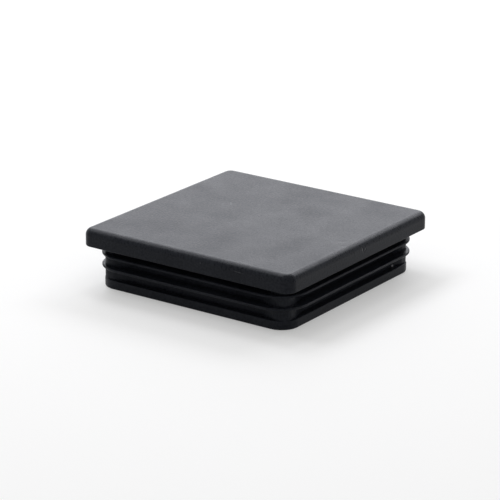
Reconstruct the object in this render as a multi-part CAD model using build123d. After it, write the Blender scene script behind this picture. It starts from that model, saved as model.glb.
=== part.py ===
from build123d import *
from math import sqrt
import os

# Push-in end cap for a 100 x 100 mm square tube: one plastic moulding, in millimetres and degrees.
# The origin is the centre of the skirt's foot, which the cap rests on, and +Z points up to the head.

# Head: the plate that covers the end of the tube
HEAD_SIDE = 100.0
HEAD_HEIGHT = 7.2
HEAD_CORNER_RADIUS = 4.3
HEAD_TOP_ROUND = 2.8
HEAD_SEAT_ROUND = 0.4
HEAD_SKIN = 3.4

# Skirt: the hollow box that goes into the tube.
# Each side is set back between posts at the corners, and a ramp leads up to each post.
SKIRT_SIDE = 89.0
SKIRT_DEPTH = 17.4
SKIRT_CORNER_RADIUS = 4.0
SKIRT_WALL = 2.5
RECESS_DEPTH = 2.0
POST_WIDTH = 6.0
RAMP_WIDTH = 7.0
RAMP_ROOT_ROUND = 8.0

# Fins: thin collars round the skirt, which bend as they grip the tube.
# Their outline is rounder than the skirt's, so they stand out less at the corners.
FIN_COUNT = 2
FIN_REACH = 3.6
FIN_CORNER_REACH = 1.2
FIN_THICKNESS = 1.0
FIN_TIP_BEVEL = 0.3
FIRST_FIN_DROP = 3.0
FIN_PITCH = 5.1

# Foot band: the thick collar at the skirt's open end, rounded underneath to lead it into the tube
BAND_HEIGHT = 3.7
BAND_REACH = 1.2
BAND_CORNER_REACH = 0.15
BAND_TOP_ROUND = 0.4
BAND_FOOT_ROUND = 0.7

# Pockets: the hollow of the skirt, divided by two crossed webs that stop short of the foot
POCKET_CORNER_RADIUS = 4.0
POCKET_DRAFT = 1.0
POCKET_CEILING_ROUND = 0.8
WEB_THICKNESS = 2.0
WEB_ROOT_ROUND = 1.5
WEB_FOOT_GAP = 4.0

POCKET_DEPTH = SKIRT_DEPTH + HEAD_HEIGHT - HEAD_SKIN
POCKET_REACH = SKIRT_SIDE / 2 - RECESS_DEPTH - SKIRT_WALL


def rounded_square(side, corner_radius, height):
    return Pos(Z=height) * RectangleRounded(side, side, corner_radius)


def collar_outline(reach, corner_reach, height):
    """Outline that passes the posts by reach on its flats and by corner_reach on its diagonals."""
    corner_cut = sqrt(2) - 1
    side = SKIRT_SIDE + 2 * reach
    diagonal = SKIRT_SIDE / sqrt(2) - corner_cut * SKIRT_CORNER_RADIUS + corner_reach
    return rounded_square(side, (side / sqrt(2) - diagonal) / corner_cut, height)


def upper_edges(solid):
    return solid.edges().group_by(Axis.Z)[-1]


def lower_edges(solid):
    return solid.edges().group_by(Axis.Z)[0]


def make_head():
    plate = extrude(rounded_square(HEAD_SIDE, HEAD_CORNER_RADIUS, SKIRT_DEPTH), HEAD_HEIGHT)
    plate = fillet(upper_edges(plate), HEAD_TOP_ROUND)
    return fillet(lower_edges(plate), HEAD_SEAT_ROUND)


def make_fin(top):
    blade = extrude(collar_outline(FIN_REACH, FIN_CORNER_REACH, top), -FIN_THICKNESS)
    return chamfer(upper_edges(blade) + lower_edges(blade), FIN_TIP_BEVEL)


def recess_outline(height):
    """The area that one side of the skirt gives up: a flat strip with a ramp at each end."""
    inner, outer = SKIRT_SIDE / 2 - RECESS_DEPTH, SKIRT_SIDE / 2 + RECESS_DEPTH
    post = SKIRT_SIDE / 2 - POST_WIDTH
    narrow, wide = post - RAMP_WIDTH, post + RAMP_WIDTH
    area = Polygon((inner, -narrow), (inner, narrow), (outer, wide), (outer, -wide), align=None)
    return Pos(Z=height) * fillet(area.vertices().group_by(Axis.X)[0], RAMP_ROOT_ROUND)


def make_finned_skirt():
    foot = BAND_HEIGHT / 2
    recesses = [Rot(Z=90 * side) * recess_outline(foot) for side in range(4)]
    outline = rounded_square(SKIRT_SIDE, SKIRT_CORNER_RADIUS, foot) - recesses
    fins = [make_fin(SKIRT_DEPTH - FIRST_FIN_DROP - n * FIN_PITCH) for n in range(FIN_COUNT)]
    return extrude(outline, SKIRT_DEPTH - foot) + fins


def make_foot_band():
    outline = collar_outline(BAND_REACH, BAND_CORNER_REACH, BAND_HEIGHT)
    band = extrude(outline, -BAND_HEIGHT)
    band = fillet(upper_edges(band), BAND_TOP_ROUND)
    return fillet(lower_edges(band), BAND_FOOT_ROUND)


def make_pocket():
    """One quarter of the hollow, between two webs, as deep as the head's skin allows."""
    inner = WEB_THICKNESS / 2
    side = POCKET_REACH - inner
    outline = Pos(inner, inner) * Rectangle(side, side, align=Align.MIN)
    outer_corner = outline.vertices().sort_by(lambda corner: corner.X + corner.Y)[-1]
    outline = fillet(outline.vertices() - [outer_corner], WEB_ROOT_ROUND)
    outer_corner = outline.vertices().sort_by(lambda corner: corner.X + corner.Y)[-1]
    outline = fillet(outer_corner, POCKET_CORNER_RADIUS)
    pocket = extrude(outline, POCKET_DEPTH, taper=POCKET_DRAFT)
    return fillet(upper_edges(pocket), POCKET_CEILING_ROUND)


def make_mouth():
    """The undivided part of the hollow, below the webs."""
    mouth = rounded_square(2 * POCKET_REACH, POCKET_CORNER_RADIUS, 0)
    return extrude(mouth, WEB_FOOT_GAP, taper=POCKET_DRAFT)


def make_end_cap():
    pockets = [Rot(Z=90 * quarter) * make_pocket() for quarter in range(4)]
    return make_head() + make_finned_skirt() + make_foot_band() - make_mouth() - pockets


os.makedirs("parts", exist_ok=True)
export_step(make_end_cap(), "parts/end_cap.step")
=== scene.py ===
"""The look of the tube end cap: black moulded plastic on a white floor, seen as in the photograph."""
import math

import bpy
from mathutils import Matrix, Vector


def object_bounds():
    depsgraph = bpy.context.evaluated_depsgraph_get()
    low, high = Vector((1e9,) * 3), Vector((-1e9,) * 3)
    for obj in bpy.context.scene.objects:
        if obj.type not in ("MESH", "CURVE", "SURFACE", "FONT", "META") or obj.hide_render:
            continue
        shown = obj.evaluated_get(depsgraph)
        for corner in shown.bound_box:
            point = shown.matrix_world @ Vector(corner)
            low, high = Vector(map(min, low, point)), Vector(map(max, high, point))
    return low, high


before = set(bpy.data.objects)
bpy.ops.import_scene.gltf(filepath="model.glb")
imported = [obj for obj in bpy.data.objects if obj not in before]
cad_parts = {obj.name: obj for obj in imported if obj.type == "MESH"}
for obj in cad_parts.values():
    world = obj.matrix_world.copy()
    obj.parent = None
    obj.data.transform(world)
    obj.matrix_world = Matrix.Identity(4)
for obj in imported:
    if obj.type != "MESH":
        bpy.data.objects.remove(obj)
cad_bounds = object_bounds()

# Lengths are in metres, in the frame of the CAD model: the cap stands on z = 0 with its head up.
# Only the places and sizes of the small marks are in millimetres.
MM = 0.001
HALF_SIDE = cad_bounds[1][0]
HEAD_TOP = cad_bounds[1][2]


# ---------------------------------------------------------------- camera

# Where the camera stands, in degrees and metres, and how far it is turned about its own axis.
CAMERA_AZIMUTH = 35.11
CAMERA_ELEVATION = 19.05
CAMERA_ROLL = 0.235
CAMERA_DISTANCE = 0.9923
# It aims this far right of and above the centre of the head's top, as it sees them.
AIM_RIGHT = -0.00292
AIM_UP = -0.01237
# The photograph's focal length and side, both in pixels, set the lens for a sensor of this width in mm.
FOCAL_PIXELS = 2481
FRAME_PIXELS = 500
SENSOR = 36
CLIP_START = 0.01


def direction(azimuth, elevation):
    """The unit vector toward that side of the cap; azimuth 0 is the -Y side and 90 the +X side."""
    around, above = math.radians(azimuth), math.radians(elevation)
    return Vector((
        math.sin(around) * math.cos(above),
        -math.cos(around) * math.cos(above),
        math.sin(above),
    ))


def make_camera():
    back = direction(CAMERA_AZIMUTH, CAMERA_ELEVATION)
    right = direction(CAMERA_AZIMUTH + 90, 0)
    up = back.cross(right)
    turn = Matrix.Rotation(math.radians(CAMERA_ROLL), 3, back)
    right, up = turn @ right, turn @ up
    target = Vector((0, 0, HEAD_TOP)) + right * AIM_RIGHT + up * AIM_UP
    data = bpy.data.cameras.new("camera")
    data.sensor_width = SENSOR
    data.lens = FOCAL_PIXELS / FRAME_PIXELS * SENSOR
    data.clip_start = CLIP_START
    camera = bpy.data.objects.new("camera", data)
    place = Matrix.Translation(target + back * CAMERA_DISTANCE)
    camera.matrix_world = place @ Matrix((right, up, back)).transposed().to_4x4()
    bpy.context.scene.collection.objects.link(camera)
    bpy.context.scene.camera = camera


# ---------------------------------------------------------------- studio

# The world lights the cap with its grey times its fill. The camera and mirrored rays see its white.
WORLD_GREY = (0.8, 0.8, 0.8, 1)
WORLD_FILL = 0.5
WORLD_WHITE = (0.97, 0.975, 1, 1)
# The lamps are slightly blue, and the floor's colour makes up for it, so that the floor looks neutral.
LAMP_COLOUR = (0.93, 0.94, 1)
FLOOR_COLOUR = (0.70, 0.696, 0.674, 1)
FLOOR_ROUGHNESS = 0.9
# A white glow that lifts the floor toward white for the camera and in mirrored rays, and lights nothing.
GLOW_COLOUR = (1, 1, 1, 1)
FLOOR_GLOW = 0.3
FLOOR_HALF = 3
LAMP_DISTANCE = 1.5
# Where each softbox stands: azimuth and elevation in degrees, width and height in metres, radiance.
SOFTBOXES = {
    "left": (281, 54, 0.55, 0.5, 5.2),
    "back_left": (242, 50, 0.6, 0.5, 4.9),
    "back": (212, 35, 0.9, 0.45, 3.0),
    "back_right": (175, 38, 0.8, 0.45, 4.7),
    "back_low": (215, 17, 1.0, 0.4, 2.4),
    "overhead": (215, 68, 0.4, 0.4, 3.9),
}


def link(tree, source, target):
    tree.links.new(source, target)


def seen_or_mirrored(tree):
    """1 for camera, glossy and transmission rays, and 0 for the rays that light things."""
    path = tree.nodes.new("ShaderNodeLightPath")
    result = path.outputs["Is Camera Ray"]
    for name in ("Is Glossy Ray", "Is Transmission Ray"):
        either = tree.nodes.new("ShaderNodeMath")
        either.operation = "MAXIMUM"
        link(tree, result, either.inputs[0])
        link(tree, path.outputs[name], either.inputs[1])
        result = either.outputs[0]
    return result


def make_background(tree, colour, strength):
    node = tree.nodes.new("ShaderNodeBackground")
    node.inputs["Color"].default_value = colour
    node.inputs["Strength"].default_value = strength
    return node.outputs[0]


def make_world():
    world = bpy.data.worlds.new("studio")
    world.use_nodes = True
    tree = world.node_tree
    tree.nodes.clear()
    mix = tree.nodes.new("ShaderNodeMixShader")
    link(tree, seen_or_mirrored(tree), mix.inputs["Fac"])
    link(tree, make_background(tree, WORLD_GREY, WORLD_FILL), mix.inputs[1])
    link(tree, make_background(tree, WORLD_WHITE, 1), mix.inputs[2])
    output = tree.nodes.new("ShaderNodeOutputWorld")
    link(tree, mix.outputs[0], output.inputs["Surface"])
    bpy.context.scene.world = world


def make_floor():
    mesh = bpy.data.meshes.new("floor")
    half = FLOOR_HALF
    corners = [(-half, -half, 0), (half, -half, 0), (half, half, 0), (-half, half, 0)]
    mesh.from_pydata(corners, [], [(0, 1, 2, 3)])
    floor = bpy.data.objects.new("floor", mesh)
    bpy.context.scene.collection.objects.link(floor)
    material = bpy.data.materials.new("floor")
    material.use_nodes = True
    tree = material.node_tree
    shader = tree.nodes["Principled BSDF"]
    shader.inputs["Base Color"].default_value = FLOOR_COLOUR
    shader.inputs["Roughness"].default_value = FLOOR_ROUGHNESS
    shader.inputs["Specular IOR Level"].default_value = 0
    shader.inputs["Emission Color"].default_value = GLOW_COLOUR
    glow = tree.nodes.new("ShaderNodeMath")
    glow.operation = "MULTIPLY"
    glow.inputs[1].default_value = FLOOR_GLOW
    link(tree, seen_or_mirrored(tree), glow.inputs[0])
    link(tree, glow.outputs[0], shader.inputs["Emission Strength"])
    mesh.materials.append(material)


def make_softbox(name, azimuth, elevation, width, height, radiance):
    """A rectangular lamp that faces the cap from that side, as bright all over as radiance says."""
    toward = direction(azimuth, elevation)
    data = bpy.data.lights.new(name, "AREA")
    data.shape = "RECTANGLE"
    data.size, data.size_y = width, height
    data.energy = radiance * math.pi * width * height
    data.color = LAMP_COLOUR
    lamp = bpy.data.objects.new(name, data)
    lamp.location = toward * LAMP_DISTANCE
    lamp.rotation_euler = toward.to_track_quat("Z", "Y").to_euler()
    lamp.visible_camera = False
    bpy.context.scene.collection.objects.link(lamp)


# ---------------------------------------------------------------- black plastic

SPECULAR_LEVEL = 0.1
# The plastic runs from black to a haze that is only a little paler, half of it from each of two noises.
BLACK = (0.0020, 0.0030, 0.0060, 1)
HAZE = (0.0165, 0.0183, 0.0230, 1)
HAZE_SHARE = 0.5
SCUFFED = (0.4, 0.4, 0.42, 1)
# The clouds move the roughness by its spread up and down, and the grain by its own on top of that.
ROUGHNESS = 0.37
ROUGHNESS_SPREAD = 0.05
ROUGHNESS_GRAIN = 0.08
GRAIN_HEIGHT = 0.06 * MM
WAVE_HEIGHT = 0.03 * MM

# The scale of each noise, per metre, and its number of finer layers.
GRAIN_NOISE = (1100, 3)
WAVE_NOISE = (130, 3)
CLOUD_NOISE = (60, 4)
NOISE_ROUGHNESS = 0.6
# The stretch of a noise's values that a ramp runs over: the narrow one gives more contrast.
WIDE_STRETCH = (0.3, 0.7)
NARROW_STRETCH = (0.4, 0.6)

# The head's rim is smoother. The polish sets in from the first distance from the axis to the second,
# and likewise between the two heights.
RIM_POLISH = 0.04
RIM_REACH = (HALF_SIDE - 4 * MM, HALF_SIDE - 2 * MM)
RIM_HEIGHT = (HEAD_TOP - 4.6 * MM, HEAD_TOP - 2.6 * MM)

# Small damage: centre and half sizes in millimetres, turn in degrees, and then the depth
# in millimetres of a dent or the strength of a scuff.
SIDE = HALF_SIDE / MM
TOP = HEAD_TOP / MM
DENTS = [
    ((42.7, -3.4, TOP), (2.6, 2.0, 1.0), (0, 0, 35), 0.05),
    ((46.6, -7.6, TOP), (2.2, 2.0, 1.0), (0, 0, 35), 0.06),
    ((SIDE, 0.45, 21.6), (1.0, 0.60, 2.0), (26, 0, 0), 0.20),
    ((SIDE, 2.3, 21.1), (1.0, 0.50, 1.3), (-57, 0, 0), 0.15),
]
SCUFFS = [
    ((26.1, -SIDE, 21.85), (3.4, 1.0, 0.28), (0, 2, 0), 0.1),
    ((-20.2, 10.1, TOP), (0.4, 2.6, 1.0), (0, 0, 35), 0.12),
    ((8.4, -SIDE, 21.9), (0.4, 1.0, 0.4), (0, 0, 0), 0.12),
    ((43.0, 33.6, 4.1), (1.4, 0.8, 0.8), (0, 0, 0), 1.0),
]


class Plastic:
    """Builds the node tree of the black plastic, piece by piece."""

    def __init__(self, name):
        self.material = bpy.data.materials.new(name)
        self.material.use_nodes = True
        self.tree = self.material.node_tree
        self.shader = self.tree.nodes["Principled BSDF"]
        self.place = self.tree.nodes.new("ShaderNodeTexCoord").outputs["Object"]

    def feed(self, socket, value):
        """Links an output to the socket, or writes a plain value into it."""
        if isinstance(value, bpy.types.NodeSocket):
            link(self.tree, value, socket)
        else:
            socket.default_value = value

    def noise(self, scale, detail):
        node = self.tree.nodes.new("ShaderNodeTexNoise")
        node.inputs["Scale"].default_value = scale
        node.inputs["Detail"].default_value = detail
        node.inputs["Roughness"].default_value = NOISE_ROUGHNESS
        link(self.tree, self.place, node.inputs["Vector"])
        return node.outputs["Fac"]

    def ramp(self, value, stretch, results, smooth=False):
        """Goes from the first result to the second while the value crosses the stretch."""
        node = self.tree.nodes.new("ShaderNodeMapRange")
        node.interpolation_type = "SMOOTHSTEP" if smooth else "LINEAR"
        names = ("From Min", "From Max", "To Min", "To Max")
        for name, limit in zip(names, (*stretch, *results)):
            node.inputs[name].default_value = limit
        link(self.tree, value, node.inputs["Value"])
        return node.outputs["Result"]

    def calculate(self, operation, first, second):
        node = self.tree.nodes.new("ShaderNodeMath")
        node.operation = operation
        self.feed(node.inputs[0], first)
        self.feed(node.inputs[1], second)
        return node.outputs[0]

    def total(self, values):
        result = values[0]
        for value in values[1:]:
            result = self.calculate("ADD", result, value)
        return result

    def mix(self, share, first, second):
        """The first colour where the share is 0, and the second where it is 1."""
        node = self.tree.nodes.new("ShaderNodeMix")
        node.data_type = "RGBA"
        self.feed(node.inputs["A"], first)
        self.feed(node.inputs["B"], second)
        self.feed(node.inputs["Factor"], share)
        return node.outputs["Result"]

    def spot(self, centre, size, turn):
        """1 in the middle of an ellipsoid and 0 outside it."""
        node = self.tree.nodes.new("ShaderNodeMapping")
        node.vector_type = "TEXTURE"
        node.inputs["Location"].default_value = [value * MM for value in centre]
        node.inputs["Rotation"].default_value = [math.radians(value) for value in turn]
        node.inputs["Scale"].default_value = [value * MM for value in size]
        link(self.tree, self.place, node.inputs["Vector"])
        length = self.tree.nodes.new("ShaderNodeVectorMath")
        length.operation = "LENGTH"
        link(self.tree, node.outputs["Vector"], length.inputs[0])
        return self.ramp(length.outputs["Value"], (0, 1), (1, 0), smooth=True)

    def spots(self, places):
        """The sum of the given spots: each has its strength in the middle and 0 outside."""
        return self.total([self.calculate("MULTIPLY", self.spot(centre, size, turn), strength)
                           for centre, size, turn, strength in places])

    def rim(self):
        """1 on the rounded rim of the head's top, where handling has polished it."""
        part = self.tree.nodes.new("ShaderNodeSeparateXYZ")
        link(self.tree, self.place, part.inputs[0])
        x, y, z = part.outputs
        reach = self.calculate(
            "MAXIMUM", self.calculate("ABSOLUTE", x, 0), self.calculate("ABSOLUTE", y, 0))
        outer = self.ramp(reach, RIM_REACH, (0, 1), smooth=True)
        upper = self.ramp(z, RIM_HEIGHT, (0, 1), smooth=True)
        return self.calculate("MULTIPLY", outer, upper)

    def set_colour(self, grain, clouds):
        haze = self.total([
            self.ramp(clouds, WIDE_STRETCH, (0, HAZE_SHARE)),
            self.ramp(grain, NARROW_STRETCH, (0, HAZE_SHARE)),
        ])
        plain = self.mix(haze, BLACK, HAZE)
        marked = self.mix(self.spots(SCUFFS), plain, SCUFFED)
        link(self.tree, marked, self.shader.inputs["Base Color"])

    def set_roughness(self, grain, clouds):
        limits = (ROUGHNESS - ROUGHNESS_SPREAD, ROUGHNESS + ROUGHNESS_SPREAD)
        roughness = self.total([
            self.ramp(clouds, WIDE_STRETCH, limits),
            self.ramp(grain, WIDE_STRETCH, (-ROUGHNESS_GRAIN, ROUGHNESS_GRAIN)),
            self.calculate("MULTIPLY", self.rim(), -RIM_POLISH),
        ])
        link(self.tree, roughness, self.shader.inputs["Roughness"])

    def set_relief(self, grain, wave):
        height = self.total([
            self.calculate("MULTIPLY", grain, GRAIN_HEIGHT),
            self.calculate("MULTIPLY", wave, WAVE_HEIGHT),
            self.calculate("MULTIPLY", self.spots(DENTS), -MM),
        ])
        bump = self.tree.nodes.new("ShaderNodeBump")
        bump.inputs["Strength"].default_value = 1
        bump.inputs["Distance"].default_value = 1
        link(self.tree, height, bump.inputs["Height"])
        link(self.tree, bump.outputs["Normal"], self.shader.inputs["Normal"])

    def build(self):
        grain, wave, clouds = self.noise(*GRAIN_NOISE), self.noise(*WAVE_NOISE), self.noise(*CLOUD_NOISE)
        self.set_colour(grain, clouds)
        self.set_roughness(grain, clouds)
        self.set_relief(grain, wave)
        self.shader.inputs["Specular IOR Level"].default_value = SPECULAR_LEVEL
        return self.material


make_camera()
make_world()
make_floor()
for name, box in SOFTBOXES.items():
    make_softbox(name, *box)

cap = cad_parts["end_cap"]
plastic = Plastic("black_plastic").build()
for slot in cap.material_slots:
    slot.material = plastic

scene = bpy.context.scene
scene.view_settings.view_transform = "Standard"
